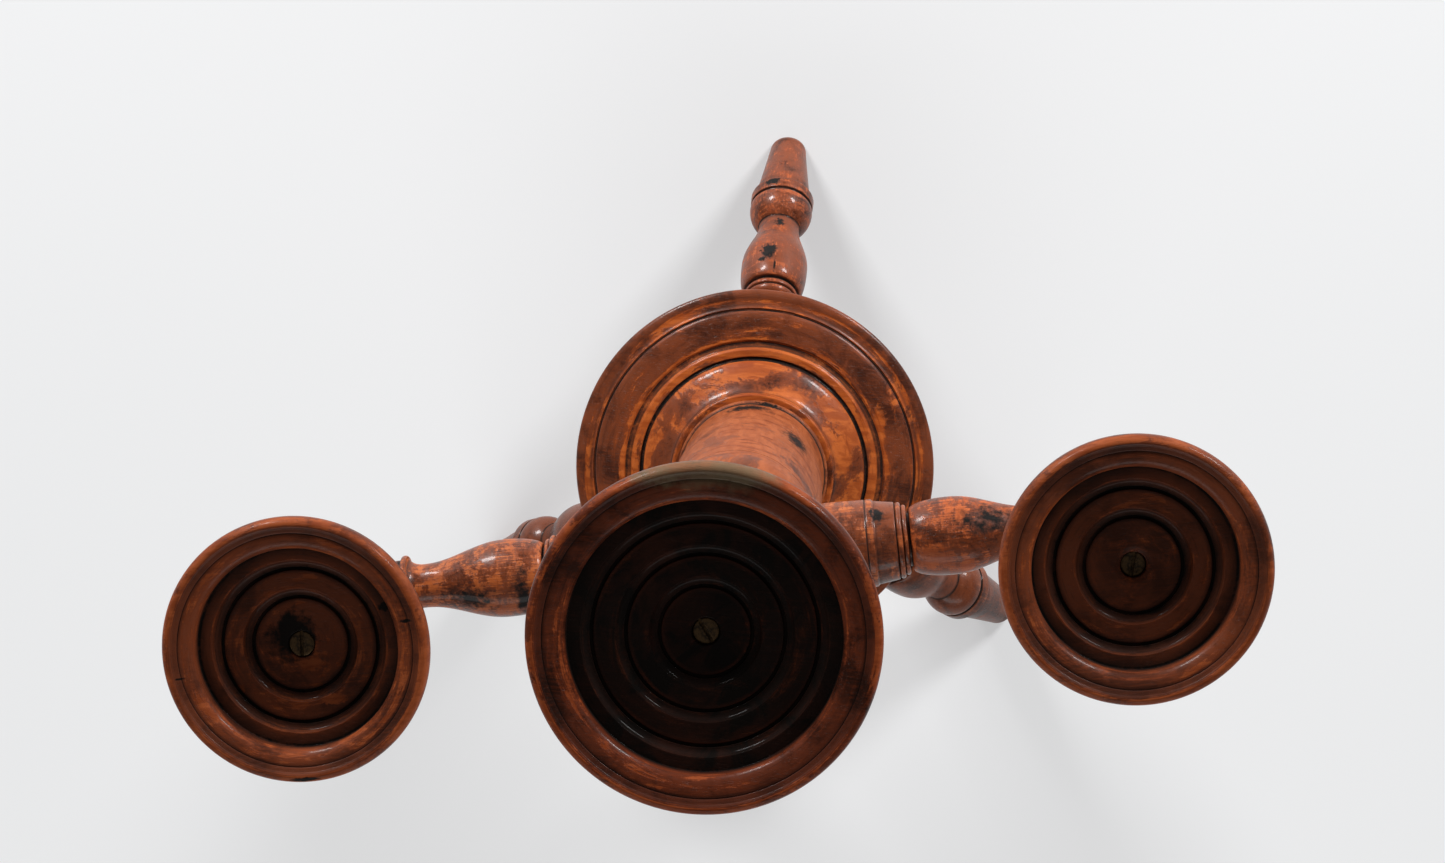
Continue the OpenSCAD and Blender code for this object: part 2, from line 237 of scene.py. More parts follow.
def wobble(angle, height, seed, depth):
    """Slight unevenness of hand turning and shrinkage, 0 to depth, always inwards."""
    rng = random.Random(seed)
    total = np.zeros(np.broadcast(angle, height).shape)
    for waves, pitch, share in ((2, 90, 0.5), (1, 47, 0.2), (3, 31, 0.15), (5, 13, 0.1), (9, 5, 0.05)):
        total = total + share * np.sin(waves * angle + height / pitch * 6.28 * rng.choice((-1, 1)) * 0.2
                                       + rng.uniform(0, 6.28))
    return depth * (1 - total) / 2


def ring_faces(rings, closed):
    """Faces between rings of vertices, each with the next; a ring of one vertex is a point on the axis."""
    faces = []
    following = rings[1:] + rings[:1] if closed else rings[1:]
    for a, b in zip(rings, following):
        if len(a) == 1 and len(b) == 1:
            continue
        around = max(len(a), len(b))
        for k in range(around):
            n = (k + 1) % around
            if len(a) == 1:
                faces.append((a[0], b[n], b[k]))
            elif len(b) == 1:
                faces.append((a[k], a[n], b[0]))
            else:
                faces.append((a[k], a[n], b[n], b[k]))
    return faces


def store_by_ring(mesh, label, values, rings):
    """Gives every vertex of a ring that ring's value, for the materials to read."""
    layer = mesh.attributes.new(label, "FLOAT", "POINT")
    spread = np.concatenate([np.full(len(ring), v) for ring, v in zip(rings, values)])
    layer.data.foreach_set("value", spread.astype(np.float32))


def turned(name, outline, place=None, around=192, closed=False, soften=0.35, seed=0, uneven=0.12,
           longest=2.5):
    """Turns an outline about its own Z axis, in high detail, and puts it in place."""
    points, tones = without_repeats(outline.points, outline.tones, closed)
    points, tones = softened(points, tones, closed, soften)
    points, tones = resampled(points, tones, closed, longest)
    points, tones = without_repeats(points, tones, closed)
    bare, shade_and_grime = zip(*tones)
    hollow = hollowness(points, closed)
    r = np.array([p[0] for p in points])
    z = np.array([p[1] for p in points])
    angle = np.linspace(0, 2 * math.pi, around, endpoint=False)
    radii = r[:, None] * np.ones(around)
    pull = wobble(angle[None, :], z[:, None], seed, uneven)
    radii = np.where(r[:, None] > 0.01, radii - np.minimum(pull, r[:, None] * 0.02), radii)
    heights = z[:, None] * np.ones(around)
    verts, rings = [], []
    for i in range(len(points)):
        if r[i] < 0.01:
            rings.append([len(verts)])
            verts.append((0, 0, z[i]))
            continue
        rings.append(list(range(len(verts), len(verts) + around)))
        verts += list(zip(radii[i] * np.cos(angle), radii[i] * np.sin(angle), heights[i]))
    mesh = bpy.data.meshes.new(name)
    mesh.from_pydata([Vector(v) * MM for v in verts], [], ring_faces(rings, closed))
    for label, values in (("bare", bare), ("shade_and_grime", shade_and_grime), ("hollow", hollow)):
        store_by_ring(mesh, label, values, rings)
    mesh.polygons.foreach_set("use_smooth", [True] * len(mesh.polygons))
    piece = link(name, mesh)
    if place is not None:
        mesh.transform(place)
    mark_local(piece, place)
    return piece


def mark_local(piece, place):
    """Stores each vertex's place in the piece's own frame, in mm, for the materials to read."""
    mesh = piece.data
    back = (place or Matrix.Identity(4)).inverted()
    layer = mesh.attributes.get("local") or mesh.attributes.new("local", "FLOAT_VECTOR", "POINT")
    spots = [tuple(back @ v.co / MM) for v in mesh.vertices]
    layer.data.foreach_set("vector", np.array(spots, dtype=np.float32).ravel())
    mesh.update()


def box_tool(size, place):
    bm = bmesh.new()
    bmesh.ops.create_cube(bm, size=1)
    for v in bm.verts:
        v.co = Vector(a * b for a, b in zip(v.co, size)) * MM
    mesh = bpy.data.meshes.new("tool")
    bm.to_mesh(mesh)
    bm.free()
    tool = link("tool", mesh)
    tool.matrix_world = place
    return tool


def combine(piece, tool, operation):
    """Applies a boolean of the two meshes to piece and removes the tool."""
    bpy.context.view_layer.update()
    step = piece.modifiers.new("combine", "BOOLEAN")
    step.operation = operation
    step.solver = "EXACT"
    step.object = tool
    depsgraph = bpy.context.evaluated_depsgraph_get()
    result = bpy.data.meshes.new_from_object(piece.evaluated_get(depsgraph))
    piece.modifiers.clear()
    old = piece.data
    result.name = old.name
    piece.data = result
    bpy.data.meshes.remove(old)
    bpy.data.objects.remove(tool)
    return piece


def at(x, y, z):
    return Matrix.Translation(Vector((x, y, z)) * MM)


def turn_z(degrees):
    return Matrix.Rotation(math.radians(degrees), 4, "Z")


def turn_y(degrees):
    return Matrix.Rotation(math.radians(degrees), 4, "Y")


def leg_place(azimuth):
    return at(0, 0, APEX_H) @ turn_z(azimuth) @ turn_y(180 - SPLAY)


def arm_place(side):
    """Local Z runs outwards along the cross-arm; side is 1 or -1."""
    return at(0, 0, ARM_H) @ turn_z(ARM_TURN) @ turn_y(90 * side)


def stem_place(side, height):
    return turn_z(ARM_TURN) @ at(side * ARM_REACH, 0, height)


# ---------------------------------------------------------------- materials

class Graph:
    """Short names for making the nodes of one material."""

    def __init__(self, name):
        self.material = bpy.data.materials.new(name)
        self.material.use_nodes = True
        self.tree = self.material.node_tree
        self.tree.nodes.clear()

    def node(self, kind, inputs=(), **settings):
        made = self.tree.nodes.new("ShaderNode" + kind)
        for key, value in settings.items():
            setattr(made, key, value)
        for key, value in dict(inputs).items():
            self.feed(made.inputs[key], value)
        return made

    def feed(self, socket, value):
        if isinstance(value, bpy.types.NodeSocket):
            self.tree.links.new(value, socket)
        else:
            socket.default_value = value

    def math(self, operation, a, b=0.0, c=0.0, clamp=False):
        made = self.node("Math", {0: a, 1: b, 2: c}, operation=operation, use_clamp=clamp)
        return made.outputs[0]

    def times(self, a, b):
        return self.math("MULTIPLY", a, b)

    def plus(self, a, b):
        return self.math("ADD", a, b)

    def ease(self, value, low, high):
        """0 below low, 1 above high, smooth between."""
        made = self.node(
            "MapRange", {"Value": value, "From Min": low, "From Max": high}, interpolation_type="SMOOTHSTEP"
        )
        return made.outputs["Result"]

    def blend(self, share, a, b):
        made = self.node("Mix", data_type="RGBA")
        self.feed(made.inputs[0], share)
        for socket, value in ((made.inputs[6], a), (made.inputs[7], b)):
            if isinstance(value, tuple) and len(value) == 3:
                value = value + (1.0,)
            self.feed(socket, value)
        return made.outputs[2]

    def between(self, share, a, b):
        made = self.node("Mix", {0: share, 2: a, 3: b}, data_type="FLOAT")
        return made.outputs[0]

    def vector(self, x, y, z):
        return self.node("CombineXYZ", {0: x, 1: y, 2: z}).outputs[0]

    def noise(self, vector, scale=1.0, detail=3.0, roughness=0.55, distortion=0.0):
        settings = {"Vector": vector, "Scale": scale, "Detail": detail}
        settings.update({"Roughness": roughness, "Distortion": distortion})
        return self.node("TexNoise", settings).outputs["Fac"]

    def attribute(self, name):
        return self.node("Attribute", attribute_name=name).outputs["Fac"]


class TurnedSpace:
    """Coordinates of a turned piece in millimetres: x, y, z, radius, and sine and cosine round the axis."""

    def __init__(self, g):
        place = g.node("Attribute", attribute_name="local").outputs["Vector"]
        split = g.node("SeparateXYZ", {0: place})
        self.point = place
        self.x, self.y, self.z = split.outputs
        self.radius = g.math("SQRT", g.plus(g.times(self.x, self.x), g.times(self.y, self.y)))
        safe = g.math("MAXIMUM", self.radius, 0.01)
        self.cosine = g.math("DIVIDE", self.x, safe)
        self.sine = g.math("DIVIDE", self.y, safe)


def spot(g, space, centre, size, softness=0.5, squeeze=(1, 1, 1), ragged=0.35):
    """1 inside a ragged spot round a point in millimetres, 0 outside it."""
    off = g.node("VectorMath", {0: space.point, 1: centre}, operation="SUBTRACT").outputs[0]
    off = g.node("VectorMath", {0: off, 1: squeeze}, operation="MULTIPLY").outputs[0]
    far = g.node("VectorMath", {0: off}, operation="LENGTH").outputs["Value"]
    rag = g.noise(space.point, scale=2.2 / size, detail=5, roughness=0.65)
    far = g.plus(far, g.times(g.plus(rag, -0.5), size * ragged * 4))
    return g.math("SUBTRACT", 1.0, g.ease(far, size * (1 - softness), size))


# Near-black for painted shade in grooves and recesses, and for dirt and dark stain marks
SHADE_AND_GRIME = (0.004, 0.0025, 0.0018)
GREY_WEAR = (0.115, 0.085, 0.048)


def wood(name, along="z", stain=(0.16, 0.04, 0.015), dark=(0.045, 0.013, 0.007), bare=(0.47, 0.11, 0.018),
         wear=0.5, roughness=0.34, shine=0.16, glint=0.2, size=1.0, mottle=1.0, fleck=1.0, grain=1.0,
         rings=1.0, ring_width=3.5, patches=(), shades=(), pale=(), seed=0.0):
    """Old varnished wood: dark stain worn through to orange wood in ragged patches; grooves black with
    painted shade and dirt.

    along: the axis of the grain. wear: how much of the stain is gone. roughness: of the stained surface.
    shine: weight of the clear varnish. glint: reflection of the wood under it. size: scale of the
    patches. mottle, fleck, grain and rings: how strong the patches, the small marks, the fibres and the
    streaks round the piece are. ring_width: width of those streaks in mm. patches, shades and pale:
    spots of bare wood, of black stain and of greyish wear, each a tuple of spot()'s values from centre
    on."""
    g = Graph(name)
    s = TurnedSpace(g)
    shift = seed * 37.0
    if along == "z":
        fibre_at = g.vector(g.plus(g.times(s.x, 1.3), shift), g.times(s.y, 1.3), g.times(s.z, 0.05))
        pore_at = g.vector(g.plus(g.times(s.x, 3.4), shift), g.times(s.y, 3.4), g.times(s.z, 0.3))
        figure_at = g.vector(g.plus(g.times(s.x, 0.14), shift), g.times(s.y, 0.14), g.times(s.z, 0.02))
    else:
        fibre_at = g.vector(g.plus(g.times(s.x, 0.06), shift), g.times(s.y, 1.2), g.times(s.z, 1.2))
        pore_at = g.vector(g.plus(g.times(s.x, 0.3), shift), g.times(s.y, 3.2), g.times(s.z, 3.2))
        figure_at = g.vector(g.plus(g.times(s.x, 0.02), shift), g.times(s.y, 0.12), g.times(s.z, 0.12))
    moved = g.node("VectorMath", {0: s.point, 1: (shift, shift * 0.3, 7.7)}, operation="ADD").outputs[0]
    fibre = g.noise(fibre_at, detail=4, roughness=0.65)
    pore = g.ease(g.noise(pore_at, detail=2, roughness=0.5), 0.6, 0.72)
    figure = g.noise(figure_at, scale=2.4, detail=5, roughness=0.5, distortion=0.5)

    # Streaks that run round the piece, where cloth, hands and the lathe have rubbed it
    lane = g.times(g.plus(g.times(s.z, 1.1), s.radius), 1 / ring_width)
    ring_at = g.vector(g.plus(g.times(s.cosine, 1.7), shift), g.times(s.sine, 1.7), lane)
    ring_streak = g.noise(ring_at, detail=6, roughness=0.68, distortion=0.5)
    fine_at = g.vector(g.plus(g.times(s.cosine, 2.4), shift), g.times(s.sine, 2.4), g.times(lane, 4.0))
    fine_lines = g.noise(fine_at, detail=3, roughness=0.6)
    blotch = g.noise(moved, scale=0.075 / size, detail=7, roughness=0.66, distortion=0.7)
    clouds = g.noise(moved, scale=0.03 / size, detail=3, roughness=0.5)
    speck = g.noise(moved, scale=0.8, detail=4, roughness=0.72)
    flecks = g.ease(g.noise(moved, scale=1.7, detail=3, roughness=0.6), 0.64, 0.7)

    hollow = g.attribute("hollow")
    bared = g.attribute("bare")
    ridge = g.ease(g.times(hollow, -1.0), 0.03, 0.2)
    groove = g.ease(hollow, 0.05, 0.26)

    def about_half(value, gain):
        return g.times(g.plus(value, -0.5), gain)

    # How far the stain is worn away: shape decides the average, and noise breaks it up
    level = g.plus(about_half(bared, 1.0), g.times(ridge, 0.12))
    level = g.plus(level, about_half(ring_streak, 1.5 * rings))
    level = g.plus(level, about_half(blotch, 1.7 * mottle))
    level = g.plus(level, about_half(fibre, 0.7 * grain))
    level = g.plus(level, about_half(speck, 0.5 * fleck))
    level = g.plus(level, wear - 0.5)
    worn = g.ease(level, 0.0, 0.14)
    half_worn = g.ease(level, -0.24, 0.04)
    for centre, reach, *rest in patches:
        worn = g.math("MAXIMUM", worn, spot(g, s, centre, reach, *rest))
        half_worn = g.math("MAXIMUM", half_worn, worn)

    # Colour, from the bare wood outwards
    bare_light = tuple(min(1.0, c * k) for c, k in zip(bare, (1.35, 1.6, 2.1)))
    bare_deep = tuple(c * k for c, k in zip(bare, (0.55, 0.42, 0.32)))
    plainness = min(1.0, 0.3 + 0.7 * fleck)
    light = g.plus(g.times(g.ease(figure, 0.38, 0.62), plainness), 1 - plainness)
    wood_colour = g.blend(light, bare_deep, bare)
    wood_colour = g.blend(g.times(g.ease(fibre, 0.5, 0.75), 0.5 * grain), wood_colour, bare_light)
    wood_colour = g.blend(g.times(g.ease(speck, 0.5, 0.72), 0.4 * fleck), wood_colour, bare_deep)
    wood_colour = g.blend(g.times(g.ease(fine_lines, 0.54, 0.66), 0.5 * rings), wood_colour, bare_deep)
    stain_mid = tuple(a * 0.6 + b * 0.4 for a, b in zip(stain, bare_deep))
    cover = g.blend(g.ease(g.plus(g.times(blotch, 0.5), g.times(clouds, 0.5)), 0.4, 0.58), dark, stain)
    cover = g.blend(g.times(g.ease(fibre, 0.46, 0.7), 0.4), cover, stain_mid)
    cover = g.blend(g.times(g.ease(fine_lines, 0.52, 0.7), 0.45), cover, dark)
    colour = g.blend(g.times(half_worn, 0.75), cover, stain_mid)
    colour = g.blend(worn, colour, wood_colour)
    colour = g.blend(g.times(pore, 0.35 * grain), colour, dark)
    colour = g.blend(g.times(flecks, 0.3 * fleck), colour, dark)
    # Painted shade and dirt: grooves, and the recesses the outline's second tone marks, are blackened, broken
    # up like grime by noise; the shades spots are real dark stain marks
    shade_and_dirt = g.math("MULTIPLY", groove, g.ease(g.plus(blotch, g.times(speck, 0.5)), 0.4, 0.8))
    shade_and_dirt = g.math("MAXIMUM", shade_and_dirt, g.times(groove, 0.45))
    shade_and_grime_level = g.plus(g.attribute("shade_and_grime"), g.times(about_half(blotch, 1.2), g.attribute("shade_and_grime")))
    shade_and_dirt = g.math("MAXIMUM", shade_and_dirt, shade_and_grime_level, clamp=True)
    for centre, reach, *rest in shades:
        shade_and_dirt = g.math("MAXIMUM", shade_and_dirt, spot(g, s, centre, reach, *rest))
    colour = g.blend(shade_and_dirt, colour, SHADE_AND_GRIME)
    for centre, reach, *rest in pale:
        colour = g.blend(g.times(spot(g, s, centre, reach, *rest), 0.6), colour, GREY_WEAR)

    # Sheen: varnish is smoother where it is whole
    rough = g.between(worn, roughness, roughness + 0.14)
    rough = g.plus(rough, about_half(speck, 0.3))
    rough = g.plus(rough, about_half(blotch, 0.4))
    rough = g.math("MAXIMUM", g.between(shade_and_dirt, rough, 0.78), 0.14)

    relief = g.plus(g.times(fibre, 0.35), g.times(fine_lines, 0.3))
    relief = g.plus(relief, g.times(speck, 0.3))
    relief = g.plus(relief, g.times(pore, -0.5))
    relief = g.plus(relief, g.times(flecks, -0.4))
    relief = g.plus(relief, g.times(worn, -0.45))
    bump = g.node("Bump", {"Height": relief, "Strength": 0.5, "Distance": 0.0003})
    shader = g.node("BsdfPrincipled", {"Base Color": colour, "Roughness": rough, "Normal": bump.outputs[0]})
    shader.inputs["Coat Weight"].default_value = shine
    shader.inputs["Coat Roughness"].default_value = 0.1
    shader.inputs["IOR"].default_value = 1.45
    shader.inputs["Specular IOR Level"].default_value = glint
    out = g.node("OutputMaterial")
    g.feed(out.inputs[0], shader.outputs[0])
    return g.material


def old_brass(name):
    g = Graph(name)
    s = TurnedSpace(g)
    blotch = g.noise(s.point, scale=0.55, detail=5, roughness=0.65)
    scratch = g.noise(g.vector(g.times(s.x, 0.6), g.times(s.y, 7.0), s.z), scale=1.5, detail=3)
    colour = g.blend(g.ease(blotch, 0.35, 0.62), (0.02, 0.013, 0.008), (0.085, 0.05, 0.022))
    colour = g.blend(g.times(g.ease(scratch, 0.55, 0.7), 0.5), colour, (0.2, 0.14, 0.07))
    rough = g.between(g.ease(blotch, 0.35, 0.65), 0.62, 0.36)
    relief = g.plus(blotch, g.times(scratch, 0.5))
    bump = g.node("Bump", {"Height": relief, "Strength": 0.4, "Distance": 0.0002})
    shader = g.node("BsdfPrincipled", {"Base Color": colour, "Roughness": rough, "Normal": bump.outputs[0]})
    shader.inputs["Metallic"].default_value = 0.85
    out = g.node("OutputMaterial")
    g.feed(out.inputs[0], shader.outputs[0])
    return g.material


def pale_paper(name):
    g = Graph(name)
    place = g.node("TexCoord").outputs["Object"]
    tone = g.noise(place, scale=1.3, detail=2)
    colour = g.blend(tone, (0.495, 0.502, 0.51), (0.525, 0.532, 0.54))
    shader = g.node("BsdfPrincipled", {"Base Color": colour, "Emission Color": colour})
    shader.inputs["Roughness"].default_value = 0.75
    shader.inputs["Emission Strength"].default_value = 0.64
    out = g.node("OutputMaterial")
    g.feed(out.inputs[0], shader.outputs[0])
    return g.material


def finish_piece(piece, body, node, material):
    piece.data.materials.clear()
    piece.data.materials.append(material)
    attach(piece, body)
    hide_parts(node)
    return piece


# ---------------------------------------------------------------- camera

def add_camera():
    """Above the stand's top end, looking down nearly along the column."""
    place = Vector((0.0351, 0.1759, 1.3476))
    aim = Vector((0.0003, 0.0645, 0.4804))
    roll = math.radians(5.34)
    sensor = 36
    focal_in_widths = 2.007
    data = bpy.data.cameras.new("camera")
    data.sensor_width = sensor
    data.lens = sensor * focal_in_widths
    camera = bpy.data.objects.new("camera", data)
    bpy.context.scene.collection.objects.link(camera)
    back = (place - aim).normalized()
    right = Vector((math.cos(roll), math.sin(roll), 0))
    up = back.cross(right).normalized()
    right = up.cross(back)
    camera.matrix_world = Matrix.Translation(place) @ Matrix((right, up, back)).transposed().to_4x4()
    data.clip_start = 0.05
    bpy.context.scene.camera = camera


add_camera()


# ---------------------------------------------------------------- the stand's outlines

def disc_outline():
    r, c = DISC_R, COLUMN_R
    low, high = DISC_BOTTOM - DISC_H, SEAT_H - DISC_H
    line = Outline()
    line.add([(MORTISE_R, low), (r - 10, low)], 0.3)
    line.add(quarter_out((r - 7.5, low + 1.5), (r, 0)), 0.1)
    line.add(quarter_in((r, 0.5), (r - 3.4, 2.5)), 0.12)
    line.add(quarter_out((r - 4.2, 2.5), (r - 7.8, 4.1)), 0.56)
    line.add([(r - 8.2, 3.8), (r - 9, 3.9)], 0.3)
    line.add([(r - 9, 4.5)], 0.45)
    line.add(quarter_in((r - 9, 4.5), (r - 15.8, 6.5)), 0.24)
    line.add([(r - 18.6, 6.8)], 0.3)
    line.add([(r - 21.4, 7)], 0.62)
    line.add(quarter_out((r - 22.2, 6.5), (r - 25, 8.1)), 0.78)
    line.add([(r - 25.7, 8.6)], 0.66)
    line.add([(r - 28.6, 8.8)], 0.34)
    line.add([(r - 29.1, 8.2), (r - 29.9, 8.4)], 0.2)
    line.add(ogee((r - 30.2, 9), (c + 2.7, high - 2.8)), 0.42)
    line.add([(c + 2.7, high - 2), (c + 1.6, high - 1.8)], 0.1)
    line.add(bead(c + 1.6, high - 1.6, high, 1), 0.3)
    line.add([(MORTISE_R, high)], 0.2)
    return line.lifted(DISC_H)


def scribed(line, radius, height, bare, wide=0.5, deep=0.3):
    """A fine line cut into an upright stretch of an outline."""
    line.add([(radius, height - wide)], bare)
    # The bottom of the cut is darkened with painted shade and grime
    line.add([(radius - deep, height)], 0.0, 0.8)
    line.add([(radius, height + wide)], bare)


def column_outline():
    r, seat = COLUMN_R, SEAT_H
    shoulder = ARM_H - HUB_HALF - HUB_GAP
    waist, neck, foot = r - 2.8, shoulder - 23.8, DISC_BOTTOM
    line = Outline()
    line.add([(0, foot), (12, foot), (12, seat), (r - 0.8, seat)], 0.3)
    line.add(bead(r - 0.8, seat, seat + 3.2, 0.8), 0.45)
    line.add([(r - 1.2, seat + 3.5)], 0.1)
    line.add(ogee((r - 1.4, seat + 4), (r - 2.3, seat + 18.5)), 0.86)
    line.add([(r - 1.4, seat + 52)], 0.82)
    line.add([(r - 1.9, seat + 52.7)], 0.1)
    line.add([(r - 1.4, seat + 53.4)], 0.82)
    line.add(ogee((r - 1.5, seat + 55), (waist, seat + 143.2)), 0.78)
    line.add([(waist - 0.9, seat + 144)], 0.1)
    line.add([(waist, seat + 144.8)], 0.6)
    line.add(quarter_in((waist + 0.2, shoulder - 39.4), (18, neck)), 0.6)
    line.add([(17.1, neck + 0.2), (17.1, neck + 1.5)], 0.2)
    line.add(ogee((15.3, neck + 2), (12.8, neck + 10)), 0.4)
    line.add(ogee((12.8, neck + 11), (15.6, neck + 18)), 0.4)
    line.add(bead(15.6, neck + 18.4, neck + 22.6, 1.4), 0.3)
    line.add([(15.6, shoulder), (8, shoulder), (8, SPIGOT_TOP), (0, SPIGOT_TOP)], 0.3)
    return line


def leg_outline():
    ball_at, ball_r = 164.5, 14.15
    line = Outline()
    line.add([(0, 80), (4.9, 80), (5.5, 80.6), (5.5, 91), (7.8, 91)], 0.2)
    line.add(bead(7.8, 91, 93.4, 0.4), 0.2)
    line.add(ogee((7.7, 94), (8.2, 104)), 0.25)
    line.add(quarter_out((8.4, 105), (11.4, 108.4)), 0.3)
    line.add([(10.6, 109.1)], 0.0)
    line.add(bead(11.4, 109.6, 111.6, 0.4), 0.4)
    line.add([(10.8, 112.3)], 0.0)
    line.add(quarter_out((12.1, 113), (14.7, 126.3)), 0.45)
    line.add(ogee((14.7, 128.5), (9.2, 153)), 0.42)
    for i in range(CURVE_STEPS + 1):
        t = math.radians(49) * (1 - i / CURVE_STEPS)
        line.add([(ball_r * math.cos(t), ball_at - ball_r * math.sin(t))], 0.5)
    line.add([(14.05, 165.9)], 0.4)
    line.add([(13.15, 166.5), (13.35, 167.2)], 0.0)
    line.add([(14.15, 167.7), (14.3, 172.4)], 0.45)
    line.add([(13.05, 173)], 0.0)
    line.add(quarter_out((12.95, 173.2), (11.95, 177.2)), 0.4)
    line.add([(10.3, 189), (8.3, 204)], 0.42)
    line.add(quarter_in((8.3, 204.1), (4.5, 208.5)), 0.3)
    line.add([(0, 208.5)], 0.2)
    return line


def hub_outline():
    """Both halves of the barrel, from end to end."""
    half = Outline()
    half.add([(15.7, 0), (15.85, 29)], 0.4)
    scribed(half, 15.88, 33, 0.4)
    half.add([(15.88, 36.9)], 0.4)
    scribed(half, 15.75, 50.2, 0.4)
    half.add([(15.7, 52.5)], 0.4)
    half.add([(15.0, 53.1), (13.9, 60.4)], 0.3)
    half.add(bead(12.9, 60.8, 62.7, 0.8), 0.4)
    half.add(bead(11.9, 62.8, 64.5, 0.7), 0.4)
    half.add([(0, 64.5)], 0.1)
    line = Outline()
    for (r, z), tone in reversed(list(zip(half.points, half.tones))[1:]):
        line.add([(r, -z)], *tone)
    for point, tone in zip(half.points, half.tones):
        line.add([point], *tone)
    return line


def arm_outline():
    hub_end, lip, end, tenon_end = 64.5, 114.8, ARM_REACH - 11.5, ARM_REACH - 3
    line = Outline()
    line.add([(0, 42.5), (6.5, 42.5), (6.5, hub_end), (9.6, hub_end), (9.6, 65.6)], 0.05)
    line.add(quarter_out((10.7, 65.6), (14, 79.3)), 0.5)
    line.add(ogee((14, 80.2), (7.9, lip - 5.6)), 0.5)
    line.add(quarter_in((7.9, lip - 5.2), (11.2, lip)), 0.55)
    line.add(bead(11, lip, lip + 2, 0.6), 0.4)
    line.add([(10, lip + 2.4), (10, end), (5.5, end), (5.5, tenon_end), (0, tenon_end)], 0.2)
    return line


def side_stem_outline():
    top, foot, drum = SIDE_RIM_H - SIDE_BOSS - ARM_H, -30, 9.6
    line = Outline()
    line.add(quarter_out((0, foot), (6.6, foot + 6.5)), 0.4)
    line.add(quarter_in((6.6, foot + 7.4), (4, -drum - 6.9)), 0.4)
    line.add(quarter_out((4, -drum - 6.2), (9.8, -drum - 3)), 0.3)
    line.add(bead(9.8, -drum - 3, -drum - 0.4, 1), 0.3)
    line.add([(11.4, -drum), (11.4, drum)], 0.35)
    line.add(bead(9.8, drum + 0.4, drum + 3.4, 1.4), 0.4)
    line.add(ogee((9.8, drum + 3.8), (6.8, drum + 9.4)), 0.3)
    line.add(quarter_out((6.8, drum + 10.4), (12.6, drum + 24.4)), 0.45)
    line.add(ogee((12.6, drum + 25.4), (6.4, top - 20)), 0.45)
    line.add(bead(6.6, top - 19.4, top - 16.4, 2.2), 0.4)
    line.add([(6.4, top - 16)], 0.1)
    line.add(quarter_in((6.4, top - 13.6), (12, top - 3)), 0.35)
    line.add([(12.4, top - 2.6), (12.4, top), (7, top), (7, top + 9.5), (0, top + 9.5)], 0.3)
    return line


def centre_stem_outline():
    top = RIM_H - CENTRE_BOSS - STEM_FOOT_H
    socket_top = SPIGOT_TOP - STEM_FOOT_H + 1
    line = Outline()
    line.add([(0, socket_top), (SPIGOT_BORE_R, socket_top), (SPIGOT_BORE_R, 0), (14.6, 0)], 0.2)
    line.add(bead(14.6, 0, 5, 1.4), 0.4)
    line.add(ogee((14.6, 5.6), (11.8, 13)), 0.35)
    line.add(quarter_out((11.8, 14.4), (16.8, 32)), 0.45)
    line.add(ogee((16.8, 33), (8.4, top - 31)), 0.45)
    line.add(bead(8.8, top - 30.4, top - 26.4, 2.6), 0.4)
    line.add([(8.4, top - 25.8)], 0.1)
    line.add(quarter_in((8.4, top - 22), (14.6, top - 4)), 0.35)
    line.add([(15.2, top - 3.4), (15.2, top), (9, top), (9, top + 9.5), (0, top + 9.5)], 0.3)
    return line


WALL_TOP = -4.4
LEDGE = 8.5
STEP_DROP = 2.3
HEAD_HOLE_R = 4.35
# The last value in each cup's table is how dark painted shade and grime make its floor
SIDE_CUP = dict(
    r=SIDE_CUP_R, wall_r=SIDE_CUP_R - 10.6, boss_r=14.2, boss=SIDE_BOSS, arrises=(28.8, 19), tenon_r=7.05,
    shade_and_grime=0.3,
)
CENTRE_CUP = dict(
    r=CENTRE_CUP_R, wall_r=CENTRE_CUP_R - 12.2, boss_r=17.8, boss=CENTRE_BOSS, arrises=(38.4, 27.9, 17.6),
    tenon_r=9.05, shade_and_grime=0.9,
)


